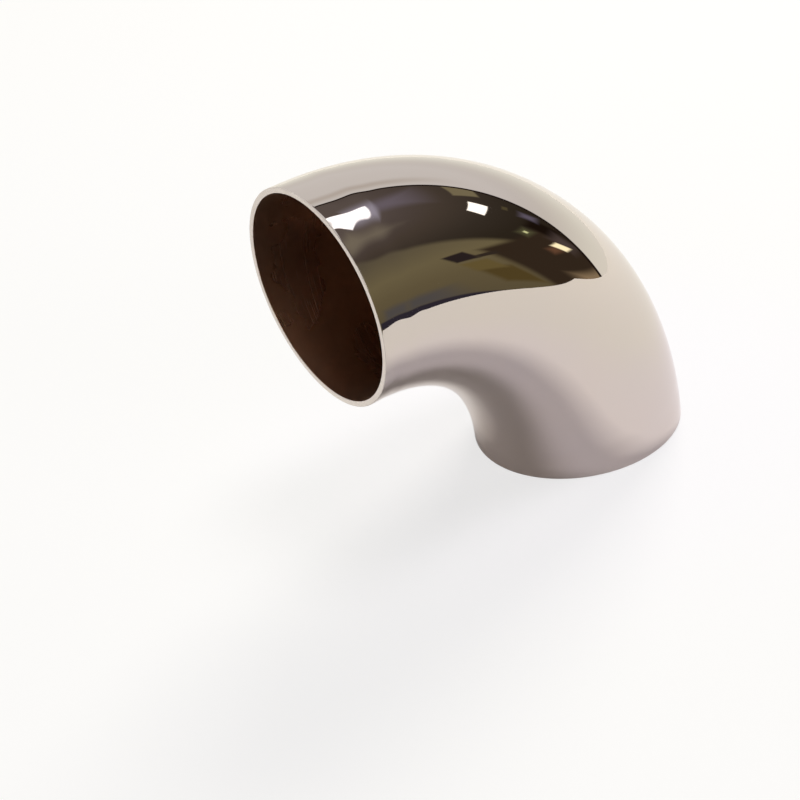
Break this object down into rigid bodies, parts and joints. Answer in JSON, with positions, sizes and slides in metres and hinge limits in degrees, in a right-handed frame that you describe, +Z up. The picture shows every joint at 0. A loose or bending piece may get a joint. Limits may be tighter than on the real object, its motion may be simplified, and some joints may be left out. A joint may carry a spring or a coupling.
{
  "type": "ninety degree weld elbow",
  "caption": "Mirror-polished stainless steel tube elbow that turns a quarter circle, open at both plain ends for welding or clamping to round tube.",
  "frame": {"origin": "centre of the lower end face, on the surface that the elbow stands on", "axes": "+Z up the axis of the lower leg, -X out of the upper end along its axis, Y across the plane of the bend"},
  "size_m": [0.133, 0.076, 0.133],
  "materials": {
    "polished_steel": "polished"
  },
  "bodies": {
    "root": {"elbow": "polished_steel"}
  },
  "joints": []
}
